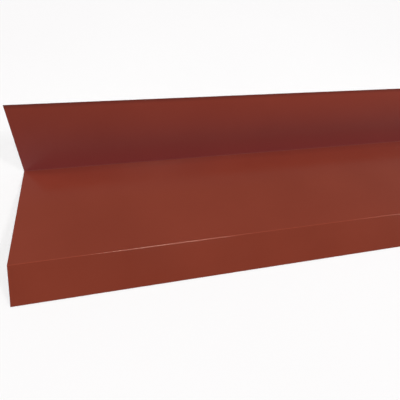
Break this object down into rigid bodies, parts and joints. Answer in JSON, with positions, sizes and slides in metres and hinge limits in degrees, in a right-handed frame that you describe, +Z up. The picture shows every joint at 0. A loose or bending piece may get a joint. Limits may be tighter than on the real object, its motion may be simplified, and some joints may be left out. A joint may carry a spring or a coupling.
{
  "type": "wall flashing",
  "caption": "Long folded strip of painted sheet steel, with an upstand for the wall, an apron over the roof covering and a skirt turned down at the front.",
  "frame": {"origin": "centre of the flashing's footprint, on the floor that it stands on", "axes": "+X along the length, +Y from the skirt to the upstand, +Z up"},
  "size_m": [2, 0.2414, 0.0883],
  "materials": {
    "painted_sheet": "satin red-brown coil coating on galvanized sheet steel"
  },
  "bodies": {
    "root": {"flashing_sheet": "painted_sheet"}
  },
  "joints": []
}
